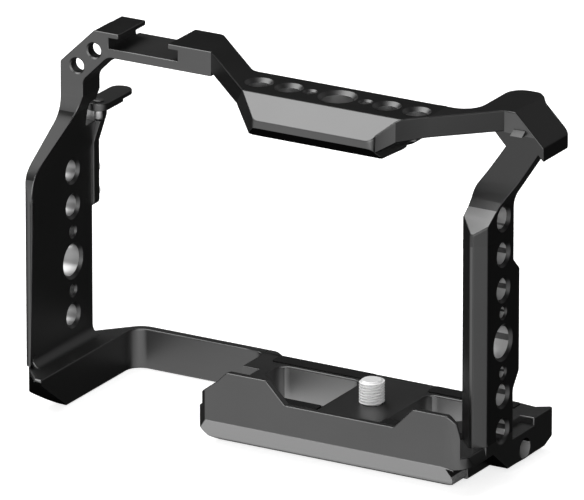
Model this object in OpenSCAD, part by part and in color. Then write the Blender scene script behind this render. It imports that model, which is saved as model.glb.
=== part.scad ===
// Camera cage: a machined frame that wraps a mirrorless camera body, with a cold shoe,
// accessory threads on three sides, a captive camera screw and a swivelling lug clip.
// x runs to the right as seen from the lens side, y to the back, z up from the floor.

/* [Overall] */
// Width from the left outer face to the tip of the right shoulder
overall_w = 137.2; // [130:0.1:150]
// Height from the floor to the top face
overall_h = 93.8; // [86:0.1:104]
// How far the top bar stands in front of the cold shoe's front face
bar_reach = 28.3; // [26:0.1:32]
// Thickness of the top plate
plate_t = 5.3; // [4:0.1:7]

/* [Left panel] */
// Wall thickness of the left panel
panel_t = 2.8; // [2.4:0.1:4]
// How much thicker the panel is on its outer side, along the row of holes
outer_rib_t = 2.6; // [1.5:0.1:3]
// How far the panel stands in front of the shoe's front face
panel_front = 18.4; // [14:0.1:22]
// How far the panel reaches back
panel_back = 10.6; // [10:0.1:14]
// Width of the upper column
column_w = 6.5; // [5:0.1:8]
// Depth of the upper column
column_d = 8.4; // [7:0.1:10]
// Distance of the upper bend below the top face
column_bend_drop = 22.3; // [20:0.1:25]
// Distance of the lower bend below the top face
panel_bend_drop = 34.5; // [32:0.1:38]
// Depth of the notch that clears the lug clip
clip_notch = 2.7; // [2:0.1:4]

/* [Cold shoe] */
// Distance of the shoe block from the left outer face
shoe_x = 9.7; // [9:0.1:12]
// Width of the shoe slot between its walls
shoe_slot_w = 19.5; // [18.6:0.1:20]
// Opening between the two flange lips
shoe_mouth_w = 14; // [12.5:0.1:15]
// Width of the solid wall left of the slot
shoe_wall = 4.2; // [3:0.1:6]
// Thickness of the flange lips
shoe_lip_t = 1.35; // [1.2:0.05:1.8]
// Height of the slot under the lips
shoe_slot_h = 2.65; // [2:0.05:3]
// Thickness of the floor under the slot
shoe_floor_t = 2.4; // [2:0.1:3.5]
// Length of the shoe from front to back
shoe_l = 14.8; // [13.6:0.1:19]
// Width of the block right of the slot
shoe_right_w = 9.6; // [8:0.1:12]
// Thickness of the web that carries the two corner holes
web_t = 3.2; // [2.6:0.1:5]
// Diameter of the two corner holes
web_hole_d = 3.7; // [3:0.1:4.5]

/* [Top bar] */
// Height of the bar's sloped front
bar_slope_h = 3.7; // [2.5:0.1:5]
// Depth of the bar's sloped front
bar_slope_d = 7.3; // [5:0.1:9]
// Height of the bar's upright front face
bar_face_h = 2; // [1:0.1:3]
// Height of the bevel under the bar's front
bar_bevel_h = 3.2; // [2:0.1:4]
// Depth of the bevel under the bar's front
bar_bevel_d = 5.2; // [3:0.1:7]
// Distance of the bar's back edge in front of the shoe's front face
bar_back = 6.7; // [5:0.1:8]
// Distance of the bar's right end from the shoulder's tip
bar_end_gap = 30; // [27:0.1:33]

/* [Right side] */
// How far the shoulder's tip stands out beyond the right panel's outer face
shoulder_reach = 10.2; // [9:0.1:12]
// Thickness of the right panel
right_t = 8; // [7:0.1:10]
// How far the right panel stands in front of the shoe's front face
right_front = 14.2; // [12:0.1:16]
// How far the narrow part of the right panel reaches back
right_back = 1.45; // [0.5:0.05:3]
// Extra depth of the wide part of the right panel
right_swell = 3; // [2:0.1:5]
// Bevel on the panel's inner front edge
right_bevel_in = 4.4; // [3:0.1:5]
// Bevel on the panel's outer front edge
right_bevel_out = 2.7; // [1.5:0.1:3]
// How far the strut's front face lies in front of the shoe's front face
strut_front = 2.8; // [2:0.1:5]
// How far the shoulder reaches back
shoulder_back = 13.6; // [12:0.1:15]

/* [Base] */
// Height of the deck above the floor
deck_z = 10.4; // [9:0.1:12]
// Gap between the base's underside and the floor
base_gap = 1.3; // [0.8:0.1:2]
// Length of the base deck up to the right panel's outer face
base_l = 75.7; // [73:0.1:78]
// How far the base deck reaches back
base_back = 19.5; // [18:0.1:21]
// How far the arm behind the deck reaches back
arm_back = 22.2; // [21.6:0.1:24]
// Wall thickness of the arm
arm_t = 2.6; // [2:0.1:4]
// Width of the foot under the left panel
foot_w = 9.3; // [8:0.1:11]
// Width of each window in the deck
window_w = 23.5; // [20:0.1:26]
// Distance between the two windows
window_gap = 18.2; // [16:0.1:22]
// Front edge of the windows, in front of the shoe's front face
window_front = 6; // [4:0.1:7]
// Back edge of the windows, behind the shoe's front face
window_back = 13.8; // [12:0.1:15]

/* [Front lip] */
// How far the lip's front face stands in front of the shoe's front face
lip_front = 23.5; // [21:0.1:26]
// Thickness of the lip wall
lip_t = 2; // [1.5:0.1:3]
// Height of the lip's raised ends above the floor
lip_end_z = 21.2; // [18:0.1:24]
// Height of the lip's middle above the floor
lip_mid_z = 15.7; // [13:0.1:17]
// Height of the bevel under the lip's front
lip_bevel_h = 6.8; // [4:0.1:7.5]
// Depth of the bevel under the lip's front
lip_bevel_d = 6.3; // [4:0.1:7]

/* [Accessory holes] */
// Diameter of the quarter inch holes, as tapped
quarter_d = 5.3; // [5:0.1:6.4]
// Diameter of the three eighths inch holes, as tapped
three_eighths_d = 8; // [7.8:0.1:9.6]
// Diameter of the locating pin holes
pin_hole_d = 2.7; // [2.4:0.1:3.5]
// Distance from each large hole to its pin holes
pin_offset = 7.7; // [7.3:0.1:8]
// Distance from each large hole to the first quarter inch hole
first_offset = 13.6; // [13.2:0.1:14.5]
// Pitch of the quarter inch holes in the side panels
side_pitch = 9.1; // [8.6:0.1:9.6]
// Pitch of the quarter inch holes in the top bar
top_pitch = 8.3; // [7.8:0.1:9]
// Bevel at the mouths of the threads in the top bar
mouth_bevel = 0.95; // [0.4:0.05:1.1]
// Bevel at the mouths of the threads in the side panels
side_bevel = 0.75; // [0.4:0.05:0.9]
// Bevel at the mouths of the pin holes
pin_bevel = 0.5; // [0.2:0.05:0.6]
// Bevel at the mouths of the two corner holes
corner_bevel = 0.35; // [0.2:0.05:0.6]

/* [Camera screw] */
// Distance of the lens axis and the screw from the shoulder's tip
lens_gap = 50.1; // [48:0.1:52]
// Distance of the screw behind the shoe's front face
screw_y = 2.2; // [0:0.1:4]
// Outer diameter of the screw's thread
screw_d = 6.35; // [6:0.05:6.5]
// Diameter of the screw's neck
screw_neck_d = 4.9; // [4.4:0.1:5.1]
// How far the screw stands above the deck
screw_proud = 5.9; // [4.5:0.1:7]
// Length of the neck that shows above the deck
screw_neck_show = 0.7; // [0.4:0.1:1.5]
// Diameter of the screw's head
screw_head_d = 11.6; // [10:0.1:13]
// Height of the screw's head
screw_head_h = 3; // [2.4:0.1:3.4]
// Running clearance around the screw and its head
screw_gap = 0.3; // [0.2:0.05:0.4]

/* [Lug clip] */
// Distance of the tongue's top face below the top face
tongue_drop = 22.3; // [21:0.1:24]
// Thickness of the clip's bracket
bracket_t = 2.6; // [2:0.1:3.2]
// Width of the clip's tongue
tongue_w = 6; // [5:0.1:7]
// Distance from the pivot to the centre of the tongue's far end
tongue_l = 10.3; // [8:0.1:12]
// Thickness of the tongue at its pivot end
tongue_t = 1.9; // [1.5:0.1:2.5]
// Thickness of the tongue's tip
tongue_tip_t = 1.2; // [1:0.1:1.4]
// Diameter of the pivot pin
pivot_d = 2; // [1.6:0.1:2.4]
// Running clearance around the pivot pin
pivot_gap = 0.05; // [0.03:0.01:0.08]
// Diameter of the clip screws' heads
clip_head_d = 3.2; // [3:0.1:4]
// Height of the clip screws' heads
clip_head_h = 1.3; // [1:0.1:1.8]
// Thread diameter of the clip screws
clip_screw_d = 1.6; // [1.4:0.1:1.8]
// Distance between the clip screws
clip_pitch = 6.2; // [5.4:0.1:7]

/* [Pads] */
// Thickness of the rubber pads
pad_t = 1.2; // [0.8:0.1:1.6]
// How far the pads stand above the deck
pad_proud = 0.2; // [0.1:0.1:0.5]
// Width of the rear pads
rear_pad_d = 4.3; // [3:0.1:4.6]
// Width of the front pads
front_pad_d = 4.2; // [3:0.1:4.8]

/* [Hidden] */
frame_black = [0.13, 0.13, 0.14];
rubber_black = [0.05, 0.05, 0.05];
steel = [0.82, 0.82, 0.84];
arc_steps = 6;
round_fn = 48;

// One overrun for every cut that leaves a face
cut = 1;

// Share of the inner bevel that the outer mouths of the left panel get
thin_wall_share = 0.3;

// Main places that the overall size sets
right_x = overall_w - shoulder_reach;
bar_right_x = overall_w - bar_end_gap;
lens_x = overall_w - lens_gap;
base_x = right_x - base_l;
column_bend_z = overall_h - column_bend_drop;
panel_bend_z = overall_h - panel_bend_drop;
tongue_top_z = overall_h - tongue_drop;

// Left panel and column
upper_bend_r = 7;
lower_bend_r = 10;
foot_fillet = 2.5;
panel_edge_r = 2.2;
taper_x_share = 0.49;
taper_z_share = 0.7;
outer_rib_wall = 2.4;
notch_drop = 5.1;
notch_rise = 1.3;
notch_r = 0.8;
column_joint_rise = 3.2;
notch_z = tongue_top_z - notch_drop;
notch_top_z = tongue_top_z + notch_rise;
column_joint_z = notch_top_z + column_joint_rise;

// Cold shoe and corner web
slot_x = shoe_x + shoe_wall;
slot_right_x = slot_x + shoe_slot_w;
lip_run = (shoe_slot_w - shoe_mouth_w) / 2;
block_x = slot_right_x + shoe_right_w;
slot_z = overall_h - shoe_lip_t - shoe_slot_h;
block_z = slot_z - shoe_floor_t;
corner_cut = 9.4;
inner_run = 7.1;
inner_r = 3;
rib_t = 1.4;
rib_run = rib_t * sqrt(2);
short_lip_cut = 1.4;
long_lip_cut = 1.3;
block_corner_r = 2.5;
web_holes = [[4.84, 9.9], [9.74, 5.2]];

// Top bar
plate_z = overall_h - plate_t;
diagonal_w = 9.3;
bar_joint_run = 5.8;
bar_joint_x = bar_right_x + bar_joint_run;
bar_front_r = 3;
bar_side_r = 2;
bar_back_r = 4;
bar_thick_off = 17.2;
bar_thick_x = block_x + bar_thick_off;
bar_thick_run = 7.3;
bar_mid_off = 0.5;
bar_mid_x = lens_x - bar_mid_off;
bar_under_z = overall_h - bar_slope_h - bar_face_h - bar_bevel_h;
corner_in = 0.6;
shoulder_corner_x = right_x - corner_in;
right_diagonal = shoulder_corner_x + strut_front;
top_row_y = -(bar_back + bar_reach - bar_slope_d) / 2;

// Shoulder and strut
shoulder_fall = 7.8;
shoulder_edge_h = 3.7;
shoulder_in = 7;
shoulder_in_x = right_x - shoulder_in;
shoulder_tip_back = 10.6;
shoulder_r = 4.5;
shoulder_fillet = 5.5;
ear_run = 1.1;
slope_x = overall_w - shoulder_fall;
strut_in_drop = 20.2;
strut_in_z = overall_h - strut_in_drop;
strut_in_r = 5;
strut_out_drop = 23.4;
strut_out_z = overall_h - strut_out_drop;
strut_out_r = 8;
strut_root_x = right_x - corner_in / 2;
strut_root_drop = 9.1;
strut_root_z = overall_h - strut_root_drop;
strut_heel_in = 6;
strut_heel_x = right_x - strut_heel_in;
strut_fillet = 3;
strut_knee_drop = 21.5;
strut_knee_z = overall_h - strut_knee_drop;
strut_knee_r = 14;
strut_toe_drop = 28.8;
strut_toe_z = overall_h - strut_toe_drop;
right_joint_drop = 31.8;
right_joint_z = overall_h - right_joint_drop;
right_in_x = right_x - right_t;

// Right panel
swell_top_drop = 7.3;
swell_top_z = right_joint_z - swell_top_drop;
swell_rise = 10.9;
swell_low_z = deck_z + swell_rise;
swell_run = 4;
swell_r = 3;
side_row_y = -3.8;
right_row_drop = 1.3;
right_large_z = (deck_z + right_joint_z) / 2 - right_row_drop;
right_low_hole_z = right_large_z - first_offset - side_pitch;
right_top_rise = 4.7;

// Left panel holes
left_row_y = 1.1;
left_row_drop = 2.45;
left_large_z = (deck_z + panel_bend_z) / 2 - left_row_drop;
left_first_offset = 14.3;
left_hole_l = panel_t + outer_rib_t;

// Arm, foot and base
foot_front = 25.6;
foot_side_y = -15.5;
foot_bow = 3;
bow_shares = [0.17, 0.5, 0.75];
foot_lean = 12.4;
foot_edge = 1.4;
foot_r = 9;
arm_fillet = 3.8;
arm_step = 4.7;
arm_joint_x = base_x - arm_step;
arm_curve_x = 10.5;
arm_curve_r = 6;
block_front_y = 8.7;
base_step_in = 1.3;
base_step_x = base_x + base_step_in;
base_step_run = 3.6;
pocket_r = 3;
pocket_cut = 12.9;
base_end_cut = 1.9;
base_end_w = 3.9;
base_end_back = 12.1;
end_hole_y = 7.5;
end_hole_z = 4;
end_hole_depth = 9;
window_left_x = lens_x - window_gap / 2 - window_w;
window_right_x = lens_x + window_gap / 2;
window_right_w = 21.5;

// Front lip
lip_bevel_z = base_gap + lip_bevel_h;
lip_joint = 12;
end_cut_l = 5;
end_cut_x = right_x - end_cut_l;
end_cut_z = 7.2;
end_cut_y = 8.4;
lip_toe_run = 2.3;
lip_corner = 3.5;
lip_corner_r = 6;
lip_peak_run = 9.5;
lip_left_peak_x = base_x + lip_peak_run;
lip_left_low_z = 13.4;
lip_left_run = 7.1;
lip_left_x = base_x + lip_left_run;
lip_left_z = 18.7;
lip_fall_off = 15.1;
lip_left_fall_x = lens_x - lip_fall_off;
lip_mid_left_off = 9.7;
lip_mid_left_x = lens_x - lip_mid_left_off;
lip_mid_right_off = 20.5;
lip_mid_right_x = lens_x + lip_mid_right_off;
lip_rise_off = 25.8;
lip_right_rise_x = lens_x + lip_rise_off;
lip_peak_in = 4.5;
lip_right_peak_x = right_x - lip_peak_in;
lip_right_z = 19.4;
lip_r = 2;
lip_toe_r = 4.5;

// Camera screw
screw_web_t = 4.6;
screw_slot_w = 1.6;
screw_slot_h = 1.4;
screw_tip = 0.8;
screw_hole_d = screw_neck_d + 2 * screw_gap;
screw_pocket_d = screw_head_d + 2 * screw_gap;
screw_web_z = deck_z - screw_web_t;
thread_z = deck_z + screw_neck_show;

// Lug clip
bracket_h = 27.7;
bracket_foot_z = tongue_top_z - bracket_h;
bracket_w = 3.25;
bracket_top_w = 5.5;
bracket_bend_drop = 11;
bracket_bend_z = tongue_top_z - bracket_bend_drop;
bracket_top_drop = 3.9;
bracket_top_z = tongue_top_z - bracket_top_drop;
bracket_r = 1.3;
pivot_x = 4.3;
pivot_y = 11.1;
boss_d = 3.4;
boss_h = 2.2;
washer_gap = 0.1;
tongue_z = tongue_top_z - tongue_t;
tongue_step_l = 7.1;
pin_head_d = 2.9;
pin_head_h = 0.35;
clip_low_rise = 3.35;
clip_low_z = bracket_foot_z + clip_low_rise;
clip_thread_l = 4.5;
clip_screw_x = clip_head_d / 2;

// Pads
rear_pad_l = 27.6;
rear_right_pad_l = 24;
rear_pad_off = 8.2;
rear_pad_y = base_back - rear_pad_d;
front_pad_l = 22.8;
front_pad_off = 9;
front_pad_rim = 0.5;
front_pad_y = -window_front - front_pad_d - front_pad_rim;
pad_r = 0.8;

// Points of an outline whose corners are [x, y] or [x, y, radius]
function unit(v) = v / norm(v);
function corner_arc(p, a, b, r) =
    let (u = unit(a - p))
    let (v = unit(b - p))
    let (half = acos(u * v) / 2)
    let (centre = p + unit(u + v) * r / sin(half))
    let (start = p + u * r / tan(half) - centre)
    let (stop = p + v * r / tan(half) - centre)
    let (from_angle = atan2(start[1], start[0]))
    let (turn = (atan2(stop[1], stop[0]) - from_angle + 540) % 360 - 180)
    [for (k = [0:arc_steps]) centre + r * [
        cos(from_angle + turn * k / arc_steps), sin(from_angle + turn * k / arc_steps)]];
function flat_point(c) = [c[0], c[1]];
function rounded(c) = [
    for (i = [0:len(c) - 1])
        let (before = flat_point(c[(i + len(c) - 1) % len(c)]))
        let (after = flat_point(c[(i + 1) % len(c)]))
        each len(c[i]) > 2 ? corner_arc(flat_point(c[i]), before, after, c[i][2]) : [c[i]]];

// An outline in x and y, in y and z, or in x and z, swept along the third axis
module prism_z(points, z0, z1) {
    translate([0, 0, z0])
        linear_extrude(z1 - z0)
            polygon(rounded(points));
}
module prism_x(points, x0, x1) {
    translate([x0, 0, 0])
        rotate([90, 0, 90])
            linear_extrude(x1 - x0)
                polygon(rounded(points));
}
module prism_y(points, y0, y1) {
    translate([0, y1, 0])
        rotate([90, 0, 0])
            linear_extrude(y1 - y0)
                polygon(rounded(points));
}

// A straight hole with a bevel at both mouths; in the thin left wall the outer one is small
module bevelled_hole(d, l, bevel, back_bevel) {
    translate([0, 0, -cut])
        cylinder(d = d, h = l + 2 * cut, $fn = round_fn);
    translate([0, 0, l - bevel])
        cylinder(d1 = d, d2 = d + 2 * bevel + 2 * cut, h = bevel + cut, $fn = round_fn);
    translate([0, 0, -cut])
        cylinder(d1 = d + 2 * back_bevel + 2 * cut, d2 = d, h = back_bevel + cut, $fn = round_fn);
}
module hole_x(x0, y, z, d, l, bevel, back_share) {
    translate([x0, y, z])
        rotate([0, 90, 0])
            bevelled_hole(d, l, bevel, bevel * back_share);
}
module hole_z(x, y, z0, d, l, bevel) {
    translate([x, y, z0])
        bevelled_hole(d, l, bevel, bevel);
}

// Every piece is placed with the middle of the footprint over the origin
module place() {
    translate([(outer_rib_t - overall_w) / 2, (bar_reach - pivot_y - tongue_l - tongue_w / 2) / 2, 0])
        children();
}

// Thicker stretch on the left panel's outer side, which carries its row of holes
module outer_rib() {
    low_z = left_large_z - left_first_offset - quarter_d / 2 - outer_rib_wall;
    high_z = left_large_z + left_first_offset + side_pitch + quarter_d / 2 + outer_rib_wall;
    front_y = left_row_y - three_eighths_d / 2 - outer_rib_wall;
    back_y = left_row_y + three_eighths_d / 2 + outer_rib_wall;
    intersection() {
        prism_z([
            [panel_t / 2, front_y],
            [0, front_y],
            [-outer_rib_t, front_y + outer_rib_t / 2],
            [-outer_rib_t, back_y - outer_rib_t / 2],
            [0, back_y],
            [panel_t / 2, back_y]
        ], low_z, high_z);
        prism_y([
            [panel_t / 2, low_z],
            [0, low_z],
            [-outer_rib_t, low_z + outer_rib_t / 2],
            [-outer_rib_t, high_z - outer_rib_t / 2],
            [0, high_z],
            [panel_t / 2, high_z]
        ], front_y, back_y);
    }
}

// Left side wall, from the foot to the column
module left_panel() {
    color(frame_black) place() difference() {
        union() {
            outer_rib();
            intersection() {
                prism_x([
                    [0, column_joint_z],
                    [0, column_bend_z, upper_bend_r],
                    [-panel_front, panel_bend_z, lower_bend_r],
                    [-panel_front, deck_z],
                    [panel_back, deck_z],
                    [panel_back, notch_z],
                    [column_d - clip_notch, notch_z, notch_r],
                    [column_d - clip_notch, notch_top_z, notch_r],
                    [column_d, notch_top_z],
                    [column_d, column_joint_z]
                ], 0, column_w);
                prism_y([
                    [0, deck_z],
                    each corner_arc([panel_t, deck_z], [foot_w, deck_z], [panel_t, panel_bend_z], foot_fillet),
                    [panel_t, panel_bend_z],
                    [panel_t + (column_w - panel_t) * taper_x_share,
                        panel_bend_z + (column_joint_z - panel_bend_z) * taper_z_share],
                    [column_w, column_joint_z],
                    [0, column_joint_z]
                ], -panel_front - cut, panel_back + cut);
                prism_z([
                    [0, -panel_front, panel_edge_r],
                    [column_w, -panel_front],
                    [column_w, panel_back],
                    [0, panel_back]
                ], deck_z, column_joint_z);
            }
        }
        hole_x(-outer_rib_t, left_row_y, left_large_z, three_eighths_d, left_hole_l,
            side_bevel, thin_wall_share);
        for (side = [-1, 1])
            hole_x(-outer_rib_t, left_row_y, left_large_z + side * pin_offset, pin_hole_d,
                left_hole_l, pin_bevel, thin_wall_share);
        for (up = [-left_first_offset, left_first_offset, left_first_offset + side_pitch])
            hole_x(-outer_rib_t, left_row_y, left_large_z + up, quarter_d, left_hole_l,
                side_bevel, thin_wall_share);
        for (up = [0, clip_pitch])
            translate([clip_screw_x, panel_back - clip_thread_l, clip_low_z + up])
                rotate([-90, 0, 0])
                    cylinder(d = clip_screw_d, h = clip_thread_l + cut, $fn = round_fn);
    }
}

// Top left corner with its web and the cold shoe
module cold_shoe_block() {
    diagonal_x = block_x + diagonal_w - shoe_l + long_lip_cut;
    color(frame_black) place() difference() {
        intersection() {
            prism_y([
                [0, column_joint_z],
                [0, overall_h - corner_cut],
                [shoe_x, overall_h],
                [slot_x + lip_run, overall_h],
                [slot_x + lip_run, overall_h - shoe_lip_t],
                [slot_x, overall_h - shoe_lip_t],
                [slot_x, slot_z],
                [slot_right_x, slot_z],
                [slot_right_x, overall_h - shoe_lip_t],
                [slot_right_x - lip_run, overall_h - shoe_lip_t],
                [slot_right_x - lip_run, overall_h],
                [block_x, overall_h],
                [block_x, block_z],
                [column_w + inner_run, block_z, inner_r],
                [column_w, block_z - inner_run, inner_r],
                [column_w, column_joint_z]
            ], 0, shoe_l);
            prism_z([
                [0, 0],
                [block_x, 0],
                [block_x, diagonal_w],
                [diagonal_x, shoe_l - long_lip_cut, block_corner_r],
                [slot_right_x - lip_run, shoe_l - long_lip_cut],
                [slot_right_x - lip_run, shoe_l],
                [slot_x, shoe_l],
                [slot_x, shoe_l - short_lip_cut],
                [shoe_x, shoe_l - short_lip_cut],
                [shoe_x, column_d],
                [0, column_d]
            ], column_joint_z - cut, overall_h + cut);
        }
        prism_y([
            [-cut, column_joint_z + rib_t],
            [column_w - rib_t, column_joint_z + rib_t],
            [column_w - rib_t, block_z - inner_run + rib_run - rib_t],
            [slot_x - rib_run, block_z - inner_run + rib_run + slot_x - rib_run - column_w],
            [slot_x - rib_run, overall_h - shoe_lip_t],
            [-cut, overall_h - shoe_lip_t]
        ], web_t, shoe_l + cut);
        translate([shoe_x, shoe_l - short_lip_cut, slot_z])
            cube([shoe_wall + lip_run + cut, short_lip_cut + cut, shoe_slot_h + shoe_lip_t + cut]);
        for (at = web_holes)
            translate([at[0], 0, overall_h - at[1]])
                rotate([-90, 0, 0])
                    bevelled_hole(web_hole_d, web_t, corner_bevel, corner_bevel);
    }
}

// Diagonal and front bar with its row of threads
module top_bar() {
    under = overall_h - bar_under_z;
    color(frame_black) place() difference() {
        intersection() {
            prism_z([
                [block_x, 0],
                [block_x + bar_reach, -bar_reach, bar_front_r],
                [bar_right_x, -bar_reach, bar_side_r],
                [bar_right_x, bar_right_x - right_diagonal],
                [bar_joint_x, bar_joint_x - right_diagonal],
                [bar_joint_x, -bar_back],
                [block_x + diagonal_w + bar_back, -bar_back, bar_back_r],
                [block_x, diagonal_w]
            ], bar_under_z - cut, overall_h + cut);
            prism_x([
                [diagonal_w + cut, overall_h],
                [bar_slope_d - bar_reach, overall_h],
                [-bar_reach, overall_h - bar_slope_h],
                [-bar_reach, overall_h - bar_slope_h - bar_face_h],
                [bar_bevel_d - bar_reach, bar_under_z],
                [diagonal_w + cut, bar_under_z]
            ], block_x, bar_joint_x);
            prism_y([
                [block_x, plate_z],
                [bar_thick_x, plate_z],
                [bar_thick_x + bar_thick_run, bar_under_z],
                [bar_right_x, bar_under_z, bar_side_r],
                [bar_right_x, plate_z],
                [bar_joint_x, plate_z],
                [bar_joint_x, overall_h],
                [block_x, overall_h]
            ], -bar_reach, diagonal_w);
        }
        hole_z(bar_mid_x, top_row_y, bar_under_z, three_eighths_d, under, mouth_bevel);
        for (side = [-1, 1]) {
            hole_z(bar_mid_x + side * pin_offset, top_row_y, bar_under_z, pin_hole_d, under, pin_bevel);
            for (out = [first_offset, first_offset + top_pitch])
                hole_z(bar_mid_x + side * out, top_row_y, bar_under_z, quarter_d, under, mouth_bevel);
        }
    }
}

// Right corner plate and the strut that carries it
module right_shoulder() {
    edge_z = overall_h - shoulder_fall - shoulder_edge_h;
    color(frame_black) place() difference() {
        union() {
            intersection() {
                prism_z([
                    [bar_joint_x, bar_joint_x - right_diagonal],
                    [shoulder_corner_x, -strut_front],
                    [overall_w, -strut_front],
                    [overall_w, shoulder_tip_back, shoulder_r / 3],
                    [slope_x + ear_run, shoulder_tip_back],
                    [slope_x + ear_run + shoulder_tip_back - shoulder_back, shoulder_back, shoulder_r / 2],
                    [shoulder_in_x, shoulder_back, shoulder_r],
                    [shoulder_in_x, -bar_back, shoulder_fillet],
                    [bar_joint_x, -bar_back]
                ], edge_z - cut, overall_h + cut);
                prism_y([
                    [bar_joint_x, overall_h],
                    [slope_x, overall_h],
                    [overall_w, overall_h - shoulder_fall],
                    [overall_w, edge_z],
                    [overall_w + edge_z - plate_z, plate_z],
                    [bar_joint_x, plate_z]
                ], bar_joint_x - right_diagonal - cut, shoulder_back + cut);
            }
            intersection() {
                prism_y([
                    [right_in_x, right_joint_z],
                    [right_in_x, strut_in_z, strut_in_r],
                    [strut_root_x, strut_root_z],
                    [strut_root_x - strut_fillet, plate_z - strut_fillet / 5],
                    [strut_heel_x - strut_fillet / 2, plate_z],
                    [strut_heel_x - strut_fillet / 2, overall_h - plate_t / 2],
                    [slope_x, overall_h - plate_t / 2],
                    [overall_w, overall_h - shoulder_fall],
                    [right_x, strut_out_z, strut_out_r],
                    [right_x, right_joint_z]
                ], -right_front, right_back);
                prism_x([
                    [-strut_front, overall_h],
                    [-strut_front, strut_knee_z, strut_knee_r],
                    [-right_front, strut_toe_z],
                    [-right_front, right_joint_z],
                    [right_back, right_joint_z],
                    [right_back, overall_h]
                ], right_in_x, overall_w);
            }
        }
        prism_z([
            [right_in_x - cut, -right_front - cut],
            [right_in_x + right_bevel_in + cut, -right_front - cut],
            [right_in_x - cut, -right_front + right_bevel_in + cut]
        ], right_joint_z - cut, strut_in_z);
        prism_z([
            [right_x + cut, -right_front - cut],
            [right_x + cut, -right_front + right_bevel_out + cut],
            [right_x - right_bevel_out - cut, -right_front - cut]
        ], right_joint_z - cut, strut_out_z);
        hole_x(right_in_x, side_row_y, right_joint_z + right_top_rise, quarter_d, right_t, side_bevel, 1);
    }
}

// Right side wall, bevelled in front and widened behind the large hole
module right_panel() {
    color(frame_black) place() difference() {
        intersection() {
            prism_z([
                [right_in_x, -right_front + right_bevel_in],
                [right_in_x + right_bevel_in, -right_front],
                [right_x - right_bevel_out, -right_front],
                [right_x, -right_front + right_bevel_out],
                [right_x, right_back + right_swell],
                [right_in_x, right_back + right_swell]
            ], deck_z, right_joint_z);
            prism_x([
                [-right_front, deck_z],
                [right_back, deck_z],
                [right_back, swell_low_z, swell_r],
                [right_back + right_swell, swell_low_z + swell_run, swell_r / 2],
                [right_back + right_swell, swell_top_z - right_swell],
                [right_back, swell_top_z],
                [right_back, right_joint_z],
                [-right_front, right_joint_z]
            ], right_in_x, right_x);
        }
        hole_x(right_in_x, side_row_y, right_large_z, three_eighths_d, right_t, side_bevel, 1);
        for (side = [-1, 1])
            hole_x(right_in_x, side_row_y, right_large_z + side * pin_offset, pin_hole_d,
                right_t, pin_bevel, 1);
        for (up = [-first_offset, first_offset, first_offset + side_pitch])
            hole_x(right_in_x, side_row_y, right_large_z + up, quarter_d, right_t, side_bevel, 1);
        hole_x(right_in_x, side_row_y, right_low_hole_z, quarter_d, right_t, side_bevel, 1);
    }
}

// Foot under the left panel and the strap that runs behind the grip
module bottom_arm() {
    strap_y = arm_back - arm_t;
    color(frame_black) place() intersection() {
        prism_z([
            [0, foot_side_y],
            [foot_w * bow_shares[0], -panel_front],
            [foot_w * bow_shares[1], -foot_front + foot_bow],
            [foot_w * bow_shares[2], -foot_front + foot_bow * bow_shares[0]],
            [foot_w, -foot_front],
            each corner_arc([foot_w, strap_y], [foot_w, -foot_front], [arm_joint_x, strap_y], arm_fillet),
            each corner_arc([arm_joint_x, strap_y], [foot_w, strap_y], [arm_joint_x, 0], foot_fillet),
            [arm_joint_x, arm_back],
            [arm_curve_x, arm_back, arm_curve_r],
            [0, panel_back, arm_curve_r]
        ], 0, deck_z);
        prism_y([
            [0, deck_z],
            [0, 0, foot_r],
            [arm_joint_x, 0],
            [arm_joint_x, deck_z]
        ], -foot_front, arm_back);
        prism_x([
            [-foot_front, deck_z],
            [-foot_front, deck_z - foot_edge],
            [-foot_front + foot_lean, 0],
            [arm_back, 0],
            [arm_back, deck_z]
        ], 0, arm_joint_x);
    }
}

// Outline of a window in the deck, with its outer front corner cut off
module window(inner_x, w, side) {
    outer_x = inner_x + side * w;
    prism_z([
        [inner_x, -window_front],
        [inner_x, window_back, pocket_r],
        [outer_x, window_back, pocket_r],
        [outer_x, -window_front + pocket_cut],
        [outer_x - side * pocket_cut, -window_front]
    ], base_gap - cut, deck_z + cut);
}

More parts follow.
